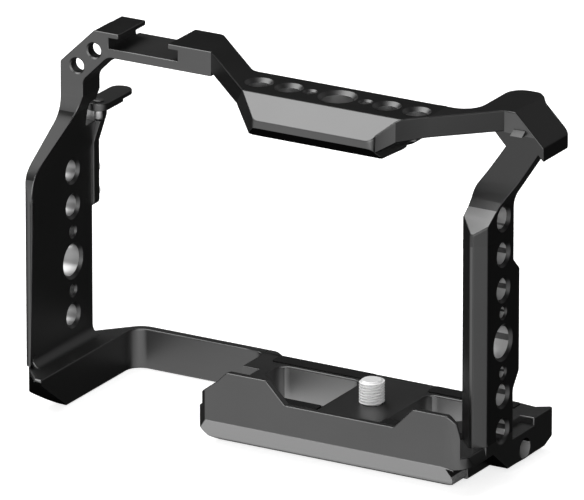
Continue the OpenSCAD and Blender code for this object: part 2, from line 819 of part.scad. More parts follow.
// Deck under the camera with two windows, pad pockets and the screw's seat
module base_plate() {
    color(frame_black) place() difference() {
        intersection() {
            prism_z([
                [arm_joint_x, arm_back],
                [arm_joint_x, block_front_y],
                [base_x, block_front_y],
                [base_x, -lip_joint],
                [right_x, -lip_joint],
                [right_x, base_back + base_end_cut],
                [right_x - base_end_cut / 2, base_back + base_end_cut],
                [right_x - 2 * base_end_cut, base_back],
                [base_step_x, base_back, pocket_r],
                [base_step_x - base_step_run, arm_back, pocket_r]
            ], base_gap, deck_z);
            prism_x([
                [-lip_joint, base_gap],
                [base_back - base_end_w / 2, base_gap],
                [arm_back, base_gap + base_end_cut],
                [arm_back, deck_z],
                [-lip_joint, deck_z]
            ], arm_joint_x, right_x);
        }
        window(window_left_x + window_w, window_w, -1);
        window(window_right_x, window_right_w, 1);
        pad_cut(-1, rear_pad_off, rear_pad_l, rear_pad_y, rear_pad_d);
        pad_cut(1, rear_pad_off, rear_right_pad_l, rear_pad_y, rear_pad_d);
        pad_cut(-1, front_pad_off, front_pad_l, front_pad_y, front_pad_d);
        pad_cut(1, front_pad_off, front_pad_l, front_pad_y, front_pad_d);
        translate([right_x - base_end_w, right_back, deck_z - base_end_cut])
            cube([base_end_w + cut, base_end_back - right_back, base_end_cut + cut]);
        translate([right_x - end_hole_depth, end_hole_y, end_hole_z])
            rotate([0, 90, 0])
                cylinder(d = quarter_d, h = end_hole_depth + cut, $fn = round_fn);
        translate([end_cut_x, -lip_joint - cut, base_gap - cut])
            cube([right_x - end_cut_x + cut, lip_joint - end_cut_y + cut, end_cut_z - base_gap + cut]);
        hole_x(right_in_x, side_row_y, right_low_hole_z, quarter_d, right_t, side_bevel, 1);
        translate([lens_x, screw_y, 0])
            cylinder(d = screw_hole_d, h = deck_z + cut, $fn = round_fn);
        translate([lens_x, screw_y, 0])
            cylinder(d = screw_pocket_d, h = screw_web_z, $fn = round_fn);
    }
}

// Raised wall in front of the camera, bevelled underneath
module front_lip() {
    color(frame_black) place() intersection() {
        prism_x([
            [-lip_front, lip_end_z],
            [-lip_front, lip_bevel_z],
            [lip_bevel_d - lip_front, base_gap],
            [lip_bevel_d - lip_front + lip_toe_run, 0],
            [-lip_joint, 0],
            [-lip_joint, deck_z],
            [lip_t - lip_front, deck_z],
            [lip_t - lip_front, lip_end_z]
        ], base_x, right_x);
        prism_y([
            [base_x, 0, lip_corner],
            [base_x, lip_left_low_z],
            [lip_left_x, lip_left_z],
            [lip_left_peak_x, lip_end_z, lip_r],
            [lip_left_fall_x, lip_end_z, lip_r / 2],
            [lip_mid_left_x, lip_mid_z, lip_r / 2],
            [lip_mid_right_x, lip_mid_z, lip_r / 2],
            [lip_right_rise_x, lip_end_z, lip_r / 2],
            [lip_right_peak_x, lip_end_z, lip_r],
            [lip_right_peak_x + lip_r, lip_right_z],
            [right_x, lip_bevel_z],
            [right_x, end_cut_z],
            [end_cut_x, end_cut_z],
            [end_cut_x, 0, lip_toe_r]
        ], -lip_front, -lip_joint);
        prism_z([
            [base_x, lip_corner - lip_front],
            [base_x + lip_corner, -lip_front],
            [right_x, -lip_front, lip_corner_r],
            [right_x, -lip_joint],
            [base_x, -lip_joint]
        ], 0, lip_end_z);
    }
}

// Captive camera screw, turned from below
module camera_screw() {
    head_z = screw_web_z - screw_gap - screw_head_h;
    top_z = deck_z + screw_proud;
    color(steel) place() translate([lens_x, screw_y, 0]) difference() {
        rotate_extrude($fn = round_fn)
            polygon([
                [0, head_z],
                [screw_head_d / 2, head_z],
                [screw_head_d / 2, head_z + screw_head_h],
                [screw_neck_d / 2, head_z + screw_head_h],
                [screw_neck_d / 2, thread_z],
                [screw_d / 2, thread_z + (screw_d - screw_neck_d) / 2],
                [screw_d / 2, top_z - screw_tip],
                [screw_d / 2 - screw_tip, top_z],
                [0, top_z]
            ]);
        translate([-screw_head_d / 2 - cut, -screw_slot_w / 2, head_z - cut])
            cube([screw_head_d + 2 * cut, screw_slot_w, screw_slot_h + cut]);
    }
}

// Plan of a pad on one side of the lens axis
module pad(side, off, l, y0, d, z0, z1) {
    near_x = lens_x + side * off;
    far_x = near_x + side * l;
    prism_z([
        [near_x, y0, pad_r],
        [far_x, y0, pad_r],
        [far_x, y0 + d, pad_r],
        [near_x, y0 + d, pad_r]
    ], z0, z1);
}
module pad_cut(side, off, l, y0, d) {
    pad(side, off, l, y0, d, deck_z + pad_proud - pad_t, deck_z + cut);
}
module pad_piece(side, off, l, y0, d) {
    color(rubber_black) place()
        pad(side, off, l, y0, d, deck_z + pad_proud - pad_t, deck_z + pad_proud);
}
module rear_left_pad() {
    pad_piece(-1, rear_pad_off, rear_pad_l, rear_pad_y, rear_pad_d);
}
module rear_right_pad() {
    pad_piece(1, rear_pad_off, rear_right_pad_l, rear_pad_y, rear_pad_d);
}
module front_left_pad() {
    pad_piece(-1, front_pad_off, front_pad_l, front_pad_y, front_pad_d);
}
module front_right_pad() {
    pad_piece(1, front_pad_off, front_pad_l, front_pad_y, front_pad_d);
}

// Bracket on the panel's back edge that carries the tongue
module clip_bracket() {
    top_z = tongue_z - washer_gap;
    color(frame_black) place() difference() {
        union() {
            prism_y([
                [0, bracket_foot_z, bracket_r],
                [bracket_w, bracket_foot_z, bracket_r],
                [bracket_w, bracket_bend_z],
                [bracket_top_w, bracket_top_z],
                [bracket_top_w, top_z],
                [0, top_z]
            ], panel_back, panel_back + bracket_t);
            translate([pivot_x, pivot_y, top_z - boss_h])
                cylinder(d = boss_d, h = boss_h, $fn = round_fn);
        }
        translate([pivot_x, pivot_y, top_z - boss_h - cut])
            cylinder(d = pivot_d, h = boss_h + 2 * cut, $fn = round_fn);
        for (up = [0, clip_pitch])
            translate([clip_screw_x, panel_back - cut, clip_low_z + up])
                rotate([-90, 0, 0])
                    cylinder(d = clip_screw_d, h = bracket_t + 2 * cut, $fn = round_fn);
    }
}

// Tongue that swings over the camera's strap lug
module clip_tongue() {
    color(frame_black) place() translate([pivot_x, pivot_y, 0]) difference() {
        intersection() {
            prism_z([
                [-tongue_w / 2, -tongue_w / 2, tongue_w / 2 - tongue_w / 50],
                [tongue_w / 2, -tongue_w / 2, tongue_w / 2 - tongue_w / 50],
                [tongue_w / 2, tongue_l + tongue_w / 2, tongue_w / 2 - tongue_w / 50],
                [-tongue_w / 2, tongue_l + tongue_w / 2, tongue_w / 2 - tongue_w / 50]
            ], tongue_z, tongue_top_z);
            prism_x([
                [-tongue_w / 2, tongue_z],
                [tongue_step_l, tongue_z],
                [tongue_step_l, tongue_top_z - tongue_tip_t],
                [tongue_l + tongue_w / 2, tongue_top_z - tongue_tip_t],
                [tongue_l + tongue_w / 2, tongue_top_z],
                [-tongue_w / 2, tongue_top_z]
            ], -tongue_w / 2, tongue_w / 2);
        }
        translate([0, 0, tongue_z - cut])
            cylinder(r = pivot_d / 2 + pivot_gap, h = tongue_t + 2 * cut, $fn = round_fn);
    }
}

// Riveted pin the tongue turns on
module clip_pivot_pin() {
    foot_z = tongue_z - washer_gap - boss_h;
    color(steel) place() translate([pivot_x, pivot_y, 0])
        rotate_extrude($fn = round_fn)
            polygon([
                [0, foot_z],
                [pivot_d / 2, foot_z],
                [pivot_d / 2, tongue_top_z + washer_gap],
                [pin_head_d / 2, tongue_top_z + washer_gap],
                [pin_head_d / 2, tongue_top_z + washer_gap + pin_head_h / 2],
                [pin_head_d / 4, tongue_top_z + washer_gap + pin_head_h],
                [0, tongue_top_z + washer_gap + pin_head_h]
            ]);
}

// Two small screws that hold the bracket, drawn with plain shanks
module clip_screws() {
    color(steel) place() for (up = [0, clip_pitch])
        translate([clip_screw_x, panel_back - clip_thread_l, clip_low_z + up])
            rotate([-90, 0, 0])
                rotate_extrude($fn = round_fn)
                    polygon([
                        [0, 0],
                        [clip_screw_d / 2, 0],
                        [clip_screw_d / 2, clip_thread_l + bracket_t],
                        [clip_head_d / 2, clip_thread_l + bracket_t],
                        [clip_head_d / 2, clip_thread_l + bracket_t + clip_head_h / 2],
                        [clip_head_d * 3 / 8, clip_thread_l + bracket_t + clip_head_h * 7 / 8],
                        [clip_head_d / 5, clip_thread_l + bracket_t + clip_head_h],
                        [0, clip_thread_l + bracket_t + clip_head_h]
                    ]);
}

left_panel();
cold_shoe_block();
top_bar();
right_shoulder();
right_panel();
bottom_arm();
base_plate();
front_lip();
camera_screw();
rear_left_pad();
rear_right_pad();
front_left_pad();
front_right_pad();
clip_bracket();
clip_tongue();
clip_pivot_pin();
clip_screws();
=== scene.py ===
import math
import bpy
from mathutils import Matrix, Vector
from mathutils.bvhtree import BVHTree


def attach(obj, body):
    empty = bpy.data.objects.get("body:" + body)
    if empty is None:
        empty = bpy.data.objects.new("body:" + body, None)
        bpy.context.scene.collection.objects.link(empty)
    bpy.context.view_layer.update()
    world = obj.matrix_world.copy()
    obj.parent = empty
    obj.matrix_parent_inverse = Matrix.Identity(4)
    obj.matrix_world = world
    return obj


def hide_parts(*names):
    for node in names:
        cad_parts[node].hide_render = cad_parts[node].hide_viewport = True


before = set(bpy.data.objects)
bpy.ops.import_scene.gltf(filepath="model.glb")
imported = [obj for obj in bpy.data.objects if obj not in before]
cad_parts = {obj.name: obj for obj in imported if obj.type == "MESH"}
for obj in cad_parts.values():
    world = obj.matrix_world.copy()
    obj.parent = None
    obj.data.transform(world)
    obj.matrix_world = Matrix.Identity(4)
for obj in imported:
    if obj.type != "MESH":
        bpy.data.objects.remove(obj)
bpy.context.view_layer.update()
mm = 0.001
cutReach = 0.000001  # a point this close to a cut lies on it


# a shader socket that can stand in sums, differences and products
class Wire:
    def __init__(self, tree, socket):
        self.tree = tree
        self.socket = socket

    def maths(self, kind, a, b):
        node = self.tree.nodes.new("ShaderNodeMath")
        node.operation = kind
        for slot, value in enumerate([a, b]):
            if isinstance(value, Wire):
                self.tree.links.new(value.socket, node.inputs[slot])
            else:
                node.inputs[slot].default_value = value
        return Wire(self.tree, node.outputs[0])

    def __add__(self, other):
        return self.maths("ADD", self, other)

    def __radd__(self, other):
        return self.maths("ADD", other, self)

    def __sub__(self, other):
        return self.maths("SUBTRACT", self, other)

    def __rsub__(self, other):
        return self.maths("SUBTRACT", other, self)

    def __mul__(self, other):
        return self.maths("MULTIPLY", self, other)

    def __rmul__(self, other):
        return self.maths("MULTIPLY", other, self)


# the nodes of one material, or of the world
class Finish:
    def __init__(self, owner):
        owner.use_nodes = True
        self.owner = owner
        self.tree = owner.node_tree
        self.tree.nodes.clear()

    # any node: its type, its settings, then its sockets' values or links; a socket is named, or n and its number
    def node(self, kind, settings=None, **sockets):
        node = self.tree.nodes.new("ShaderNode" + kind)
        for key, value in (settings or {}).items():
            if key == "stops":
                for stop, (place, shade) in zip(node.color_ramp.elements, value):
                    stop.position = place
                    stop.color = shade
            else:
                setattr(node, key, value)
        for key, value in sockets.items():
            socket = node.inputs[int(key[1:]) if key[1:].isdigit() else key.replace("_", " ")]
            if isinstance(value, Wire):
                self.tree.links.new(value.socket, socket)
            else:
                socket.default_value = value
        return node

    def wire(self, node, output=0):
        return Wire(self.tree, node.outputs[output])

    def objectPlace(self):
        return self.wire(self.node("TexCoord"), 3)

    def noise(self, place, scale, detail):
        return self.wire(self.node("TexNoise", Vector=place, Scale=scale, Detail=detail))

    def mix(self, factor, a, b):
        return self.wire(self.node("Mix", {"data_type": "RGBA"}, n0=factor, n6=a, n7=b), 2)

    def bump(self, values, height):
        return self.wire(self.node("Bump", Strength=values["grainDepth"], Distance=values["grainHeight"], Height=height))

    # the surface's shader goes out, and the finished material comes back
    def principled(self, **sockets):
        shader = self.node("BsdfPrincipled", **sockets)
        self.node("OutputMaterial", n0=self.wire(shader))
        return self.owner


def grey(v):
    return (v, v, v, 1.0)


# black anodised aluminium, bead blasted before it was dyed, and rubbed a little on its outer edges
anodised = {"shade": 0.118, "lighter": 0.138, "cloudScale": 60.0, "cloudDetail": 3.0,
            "roughness": 0.36, "spread": 0.05, "grainSpread": 0.04, "metal": 1.0, "shine": 0.5,
            "grainScale": 5200.0, "grainDetail": 2.0, "grainDepth": 0.06, "grainHeight": 0.00002,
            "rub": 0.03, "rubShade": 0.35, "rubFrom": 0.52, "rubFull": 0.6}


def anodisedFinish(name, more):
    values = {**anodised, **more}
    f = Finish(bpy.data.materials.new(name))
    place = f.objectPlace()
    grain = f.noise(place, values["grainScale"], values["grainDetail"])
    cloud = f.noise(place, values["cloudScale"], values["cloudDetail"])
    pointed = f.wire(f.node("NewGeometry"), 7)  # high on outer edges
    worn = f.node("ValToRGB", {"stops": [(values["rubFrom"], grey(0.0)), (values["rubFull"], grey(1.0))]}, Fac=pointed)
    base = f.mix(cloud, grey(values["shade"]), grey(values["lighter"]))
    rubbed = f.mix(f.wire(worn) * values["rub"], base, grey(values["rubShade"]))
    rough = values["roughness"] + (cloud - 0.5) * values["spread"] + (grain - 0.5) * values["grainSpread"]
    return f.principled(Base_Color=rubbed, Metallic=values["metal"], Roughness=rough,
                        Specular_IOR_Level=values["shine"], Normal=f.bump(values, grain))


# soft black rubber with a fine moulded grain
rubber = {"shade": 0.006, "lighter": 0.012, "cloudScale": 180.0, "cloudDetail": 3.0,
          "roughness": 0.78, "spread": 0.1, "shine": 0.12,
          "grainScale": 2600.0, "grainDepth": 0.3, "grainHeight": 0.00005}


def rubberFinish(name):
    f = Finish(bpy.data.materials.new(name))
    place = f.objectPlace()
    grain = f.wire(f.node("TexVoronoi", {"feature": "F1"}, Vector=place, Scale=rubber["grainScale"]))
    cloud = f.noise(place, rubber["cloudScale"], rubber["cloudDetail"])
    base = f.mix(cloud, grey(rubber["shade"]), grey(rubber["lighter"]))
    return f.principled(Base_Color=base, Specular_IOR_Level=rubber["shine"],
                        Roughness=rubber["roughness"] + (cloud - 0.5) * rubber["spread"], Normal=f.bump(rubber, grain))


# plated steel of the screws, turned and slightly brushed
plated = {"shade": 0.97, "darker": 0.92, "cloudScale": 150.0, "cloudDetail": 2.0,
          "roughness": 0.38, "spread": 0.12, "metal": 0.2,
          "grainScale": 900.0, "grainDetail": 3.0, "grainDepth": 0.08, "grainHeight": 0.00002}
blackenedPin = {"shade": 0.12, "darker": 0.09, "roughness": 0.4, "metal": 0.8}


def platedFinish(name, more):
    values = {**plated, **more}
    f = Finish(bpy.data.materials.new(name))
    place = f.objectPlace()
    grain = f.noise(place, values["grainScale"], values["grainDetail"])
    cloud = f.noise(place, values["cloudScale"], values["cloudDetail"])
    base = f.mix(cloud, grey(values["darker"]), grey(values["shade"]))
    return f.principled(Base_Color=base, Metallic=values["metal"],
                        Roughness=values["roughness"] + (grain - 0.5) * values["spread"], Normal=f.bump(values, grain))


# only this object is selected and active
def pick(piece):
    bpy.ops.object.select_all(action="DESELECT")
    piece.select_set(True)
    bpy.context.view_layer.objects.active = piece


def selectBy(*parts):  # what edit mode selects: vertices, edges or faces
    bpy.context.tool_settings.mesh_select_mode = [part in parts for part in ["vertices", "edges", "faces"]]


def applyModifier(piece, name, kind, **settings):
    pick(piece)
    modifier = piece.modifiers.new(name, kind)
    for key, value in settings.items():
        setattr(modifier, key, value)
    bpy.ops.object.modifier_apply(modifier=modifier.name)


# a copy of a CAD node's mesh, merged and with its flat faces joined
flatCopy = {"merge": 0.000004, "flatWithin": 0.4}


def copyOfNode(node, name):
    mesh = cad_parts[node].data.copy()
    mesh.materials.clear()
    piece = bpy.data.objects.new(name, mesh)
    bpy.context.scene.collection.objects.link(piece)
    pick(piece)
    bpy.ops.object.mode_set(mode="EDIT")
    bpy.ops.mesh.select_all(action="SELECT")
    bpy.ops.mesh.customdata_custom_splitnormals_clear()
    bpy.ops.mesh.remove_doubles(threshold=flatCopy["merge"])
    bpy.ops.mesh.dissolve_limited(angle_limit=math.radians(flatCopy["flatWithin"]), delimit=set())
    bpy.ops.mesh.vert_connect_concave()
    bpy.ops.mesh.select_all(action="DESELECT")
    bpy.ops.object.mode_set(mode="OBJECT")
    return piece


def smooth(piece, angle):
    pick(piece)
    bpy.ops.object.shade_smooth_by_angle(angle=math.radians(angle))


# bevels a piece and keeps its flat faces flat to the light
rimShading = {"smoothWithin": 32, "flatWeight": 50}


def bevelPiece(piece, **settings):
    applyModifier(piece, "rims", "BEVEL", loop_slide=False, **settings)
    smooth(piece, rimShading["smoothWithin"])
    applyModifier(piece, "flatFaces", "WEIGHTED_NORMAL", mode="FACE_AREA", weight=rimShading["flatWeight"],
                  keep_sharp=True)


def breakEdges(piece, width, segments, sharp):
    bevelPiece(piece, width=width * mm, segments=segments, limit_method="ANGLE", angle_limit=math.radians(sharp),
               use_clamp_overlap=True)


def finishPiece(piece, body, material, slot, *nodes):
    piece.data.materials.clear()
    piece.data.materials.append(material)
    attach(piece, body)
    if nodes:
        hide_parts(*nodes)


# gives the faces that the test picks, by their normal and their centre in mm, a material of their own
def paint(piece, material, test):
    piece.data.materials.append(material)
    for face in piece.data.polygons:
        if test(face.normal, face.center / mm):
            face.material_index = len(piece.data.materials) - 1


# camera: a long lens, far off, for the photograph's flat view
viewing = {"direction": (0.4714, -0.8165, 0.3333), "aim": (-0.06, -0.47, 47.67), "distance": 3.0, "lens": 758.2,
           "sensor": 36, "farthest": 50}


def makeCamera():
    data = bpy.data.cameras.new("camera")
    data.lens = viewing["lens"]
    data.sensor_width = viewing["sensor"]
    data.clip_end = viewing["farthest"]
    camera = bpy.data.objects.new("camera", data)
    bpy.context.scene.collection.objects.link(camera)
    direction = Vector(viewing["direction"]).normalized()
    camera.location = Vector(viewing["aim"]) * mm + direction * viewing["distance"]
    camera.rotation_euler = direction.to_track_quat("Z", "Y").to_euler()
    bpy.context.scene.camera = camera
    print("camera placed")


# pale floor that turns white to the camera, and isn't seen in the gloss of the metal
floorFinish = {"shade": 0.8, "glow": 0.72, "roughness": 0.9, "spread": 0.1, "cloudScale": 4.0, "cloudDetail": 2.0,
               "size": 4.0, "cells": 8, "drop": 0.0002}


def makeStage():
    f = Finish(bpy.data.materials.new("paleFloor"))
    cloud = f.noise(f.objectPlace(), floorFinish["cloudScale"], floorFinish["cloudDetail"])
    pale = f.wire(f.node("BsdfPrincipled", Base_Color=grey(floorFinish["shade"]),
                         Roughness=floorFinish["roughness"] + (cloud - 0.5) * floorFinish["spread"]))
    glow = f.wire(f.node("Emission", Color=grey(1.0), Strength=floorFinish["glow"]))
    both = f.wire(f.node("AddShader", n0=pale, n1=glow))
    choice = f.node("MixShader", Fac=f.wire(f.node("LightPath")), n1=pale, n2=both)
    f.node("OutputMaterial", n0=f.wire(choice))
    bpy.ops.object.select_all(action="DESELECT")
    bpy.ops.mesh.primitive_grid_add(x_subdivisions=floorFinish["cells"], y_subdivisions=floorFinish["cells"],
                                    size=floorFinish["size"], location=(0, 0, -floorFinish["drop"]))
    floor = bpy.context.active_object
    floor.name = "floor"
    bpy.ops.object.transform_apply(location=True, rotation=True, scale=True)
    floor.data.materials.append(f.owner)
    floor.visible_glossy = False
    print("floor laid")


# soft light from the room, by direction: where it lies, the angles of its full light and of its end, and its level
roomLevel = 0.03
roomLights = {
    "overheadPanel": ((-0.47, -0.02, 0.88), 22, 38, 3.4),
    "frontCard": ((-0.47, -0.82, -0.33), 30, 62, 0.85),
    "lowCard": ((-0.47, 0.04, -0.88), 8, 20, 3.3),
    "fillCard": ((0.47, -0.82, 0.33), 22, 36, 2.4),
    "backCard": ((0.33, 0.82, 0.47), 12, 40, 0.2),
    "rightCard": ((0.82, -0.47, -0.33), 14, 40, 0.8),
}


def makeLights():
    world = bpy.data.worlds.new("studio")
    bpy.context.scene.world = world
    room = Finish(world)
    direction = room.wire(room.node("TexCoord"))
    level = roomLevel
    for towards, inner, outer, strength in roomLights.values():
        facing = room.node("VectorMath", {"operation": "DOT_PRODUCT"}, n0=direction, n1=Vector(towards).normalized())
        spread = room.node("MapRange", {"interpolation_type": "SMOOTHSTEP"}, Value=room.wire(facing, 1),
                           From_Min=math.cos(math.radians(outer)), From_Max=math.cos(math.radians(inner)),
                           To_Min=0.0, To_Max=strength)
        level = room.wire(spread) + level
    lit = room.wire(room.node("Background", Color=grey(1.0), Strength=level))
    seen = room.wire(room.node("Background", Color=grey(1.0), Strength=1.0))
    choice = room.node("MixShader", Fac=room.wire(room.node("LightPath")), n1=lit, n2=seen)
    room.node("OutputWorld", n0=room.wire(choice))
    bpy.context.scene.view_settings.view_transform = "Standard"
    print("lamps hung")


# finishes of the machined frame, as changes to the plain one; the others are lit and shaded copies of it, with painted
# shade and painted light, and the holes' walls are bare cut metal that is painted lighter as well
frameFinishes = {
    "blackAnodised": {},
    # painted shade: the right-hand pieces darker than the rest, where less light falls
    "paintedShadeRight": {"shade": 0.066, "lighter": 0.078},
    # painted shade on tops and on the diagonal's and the arm's sides
    "paintedShadeTop": {"shade": 0.046, "lighter": 0.056},
    # painted shade on the slope below the column
    "paintedShadeSlant": {"shade": 0.035, "lighter": 0.042, "rub": 0.0},
    # painted light on the strut's knee
    "paintedLightKnee": {"shade": 0.24, "lighter": 0.26, "rub": 0.0},
    # painted shade, near black, under the front
    "paintedShadeUnder": {"shade": 0.002, "lighter": 0.003, "roughness": 0.55, "rub": 0.0, "metal": 0.0, "shine": 0.0},
    # painted highlight on the lip's toe
    "paintedHighlightLipToe": {"shade": 0.15, "lighter": 0.17, "roughness": 0.5, "rub": 0.0, "metal": 0.0, "shine": 0.2},
    # painted light on the windows' back walls
    "paintedLightPocketWall": {"shade": 0.37, "lighter": 0.41, "roughness": 0.5, "rub": 0.0},
    # bare cut metal, painted lighter with painted light
    "cutHoleWallPaintedLight": {"shade": 0.4, "lighter": 0.48, "roughness": 0.42, "rub": 0.0},
    "bareHoleWallPaintedLight": {"shade": 0.52, "lighter": 0.6, "roughness": 0.42, "rub": 0.0, "metal": 0.7},
}

# mouths of the holes: their radius, and a row's holes as distances from its big middle one
threeEighths, quarter, pin = 5.2, 3.7, 1.9
rowMiddle = [(0, threeEighths), (7.7, pin), (-7.7, pin)]
lensX, leftX = 19.8, -67.3


def holesAcross(first, middle, distances):  # along the first coordinate
    return [(first + d, middle, r) for d, r in rowMiddle + [(d, quarter) for d in distances]]


def holesUp(middle, first, distances):  # along the second coordinate
    return [(middle, first + d, r) for d, r in rowMiddle + [(d, quarter) for d in distances]]


# the frame's sections: finish, which on the right-hand pieces is a painted shade, the holes' axis and their centres and
# mouths in the two other coordinates, the finish of the holes' walls, bare cut metal with painted light, and the height
# above which they show
frameSections = {
    "left_panel": {"axis": "x", "holes": holesUp(3.05, 32.4, [14.3, -14.3, 23.4]), "walls": "cutHoleWallPaintedLight"},
    "cold_shoe_block": {"axis": "y", "holes": [(leftX + 4.84, 83.9, 2.3), (leftX + 9.74, 88.6, 2.3)]},
    "top_bar": {"axis": "z", "holes": holesAcross(lensX - 0.5, -11.9, [13.6, -13.6, 21.9, -21.9]),
                "walls": "cutHoleWallPaintedLight", "wallsAbove": 88.6},
    # the right shoulder and panel take the right side's painted shade
    "right_shoulder": {"finish": "paintedShadeRight", "axis": "x", "holes": [(-1.85, 66.7, quarter)],
                       "walls": "bareHoleWallPaintedLight"},
    "right_panel": {"finish": "paintedShadeRight", "axis": "x",
                    "holes": holesUp(-1.85, 34.9, [13.6, -13.6, 22.7, -22.7]), "walls": "bareHoleWallPaintedLight"},
    "bottom_arm": {},
    "base_plate": {"axis": "x", "holes": [(9.45, 4.0, 2.7)], "walls": "bareHoleWallPaintedLight"},
    "front_lip": {},
}
webBack = 5.5  # behind it lies the shoe, which has no holes


# tells whether a point in metres lies in the mouth of one of a section's holes
def holeTest(node):
    section = frameSections[node]

    def inside(point, reach):
        p = point / mm
        if node == "cold_shoe_block" and p.y > webBack:
            return False
        flat = {"x": (p.y, p.z), "y": (p.x, p.z), "z": (p.x, p.y)}[section["axis"]]
        return any(math.hypot(flat[0] - a, flat[1] - b) < r + reach for a, b, r in section["holes"])
    return inside if "holes" in section else lambda point, reach: False


# walls of the holes are cut after the black finish, so they are bare metal, and their lighter colour is also painted
# light where the hole shades its own walls
holeWalls = {"across": 0.3, "reach": 0.02}


def paintHoleWalls(piece, node, material):
    section = frameSections[node]
    inside = holeTest(node)
    piece.data.materials.append(material)
    for face in piece.data.polygons:
        across = abs(getattr(face.normal, section["axis"])) < holeWalls["across"]
        if across and face.center.z / mm > section.get("wallsAbove", 0):
            if all(inside(piece.data.vertices[i].co, holeWalls["reach"]) for i in face.vertices):
                face.material_index = len(piece.data.materials) - 1


# outer rims of the frame, broken and smooth; the holes' mouths stay crisp
frameRims = {"width": 0.34, "segments": 3, "sharpFrom": 22, "hollow": 0.0001, "touching": 0.02, "mouthReach": 0.12,
             "footReach": 0.05}
footTop = 10.4


# an edge that lies on the next section is inside the one machined body, so it stays sharp
def weighRims(piece, node, neighbours):
    mesh = piece.data
    inMouth = holeTest(node)
    faces = {}
    for face in mesh.polygons:
        for key in face.edge_keys:
            faces.setdefault(key, []).append(face)
    weights = mesh.attributes.new("bevel_weight_edge", "FLOAT", "EDGE")
    for edge in mesh.edges:
        sides = faces.get(edge.key, [])
        if len(sides) != 2:
            continue
        a, b = sides
        between = b.center - a.center
        start, end = [mesh.vertices[i].co for i in edge.vertices]
        middle = (start + end) / 2
        blunt = a.normal.angle(b.normal, 0) < math.radians(frameRims["sharpFrom"])
        hollow = between.dot(a.normal) > frameRims["hollow"] * mm and between.dot(b.normal) < 0
        onFoot = node == "left_panel" and middle.z / mm < footTop + frameRims["footReach"]
        if blunt or hollow or onFoot or inMouth(middle, frameRims["mouthReach"]):
            continue
        if any((n.find_nearest(middle)[3] or 0) < frameRims["touching"] * mm for n in neighbours):
            continue
        weights.data[edge.index].value = 1.0


# a wider rounding on the edges whose ends, in mm, pass the test
roundedFlat = 0.3


def roundEdges(piece, rounding, test):
    pick(piece)
    for vertex in piece.data.vertices:
        vertex.select = False
    for edge in piece.data.edges:
        edge.select = all(test(piece.data.vertices[i].co / mm) for i in edge.vertices)
    selectBy("edges")
    bpy.ops.object.mode_set(mode="EDIT")
    bpy.ops.mesh.bevel(offset=rounding["width"] * mm, offset_type="OFFSET", segments=rounding["segments"],
                       affect="EDGES", profile=0.5, loop_slide=False)
    bpy.ops.mesh.select_all(action="SELECT")
    bpy.ops.mesh.dissolve_limited(angle_limit=math.radians(roundedFlat), delimit=set())
    bpy.ops.mesh.select_all(action="DESELECT")
    bpy.ops.object.mode_set(mode="OBJECT")


# front edge of the left panel, rounded on its inner side as well
panelEdge = {"width": 1.05, "segments": 4, "front": -16.45, "near": 0.03, "inside": leftX + 2.4, "from": 12.8, "to": 60}


def roundPanel(piece):
    e = panelEdge
    roundEdges(piece, e, lambda p: abs(p.y - e["front"]) < e["near"] and p.x > e["inside"] and e["from"] < p.z < e["to"])


# bright crescent over the foot
footEdge = {"width": 0.8, "segments": 5, "near": 0.02, "tip": -16.6}


def roundFoot(piece):
    roundEdges(piece, footEdge, lambda p: abs(p.z - footTop) < footEdge["near"] and p.y < footEdge["tip"])


# lower front corner of the plate's right end, which runs back under the block
plateEnd = {"from": 54, "front": -6.45, "low": 1.3, "near": 0.05, "back": 7.5}


def slopePlate(piece):
    for vertex in piece.data.vertices:
        p = vertex.co / mm
        corner = abs(p.y - plateEnd["front"]) < plateEnd["near"] and abs(p.z - plateEnd["low"]) < plateEnd["near"]
        if p.x > plateEnd["from"] and corner:
            vertex.co.y += plateEnd["back"] * mm


# the bar hangs a little lower in front, with a steeper undercut, and its right end runs into the arm at a slant
frontBar = {"drop": 0.65, "below": 88.2, "left": -0.7, "diagonalLow": 88.5, "diagonalFall": 3.2,
            "steep": 1.6, "front": -26.4, "back": -21.4, "undercutEnd": -21.0, "corner": 3.3,
            "top": 93.8, "slopeLow": 90.1, "slopeEnd": -19.2, "slopeLeft": 2.5,
            "slant": 2.9, "endFrom": 37.5, "endBack": -20.1, "endDepth": 4.3}


def lowerBar(piece):
    bar = frontBar
    for vertex in piece.data.vertices:
        p = vertex.co / mm
        move = [0.0, 0.0, 0.0]
        if p.z < bar["below"]:
            span = min(max((p.y - bar["front"]) / (bar["back"] - bar["front"]), 0), 1)
            fade = 1 if p.x > bar["left"] else min((bar["diagonalLow"] - p.z) / bar["diagonalFall"], 1)
            move[2] = -bar["drop"] * fade
            if p.y < bar["undercutEnd"] and p.x > bar["left"]:
                move[1] = -bar["steep"] * span
                if p.x < bar["corner"]:
                    move[0] = -move[1]  # along the diagonal's side
        elif p.y < bar["slopeEnd"] and p.x > bar["slopeLeft"]:
            move[2] = -bar["drop"] * min((bar["top"] - p.z) / (bar["top"] - bar["slopeLow"]), 1)
        if p.x > bar["endFrom"] and p.y < bar["endBack"]:
            move[0] -= bar["slant"] * min((bar["endBack"] - p.y) / bar["endDepth"], 1)
        vertex.co += Vector(move) * mm


# a small sloping ledge on the shoulder's front face, where the strut starts
ledge = {"left": 61.6, "right": 65.0, "low": 88.35, "high": 89.6, "out": 1.9, "wall": -0.9, "sunk": 0.3, "topOut": 0.1,
         "rim": 0.12, "rimSegments": 2, "sharpFrom": 34, "frontNormal": -0.97, "near": 0.05}


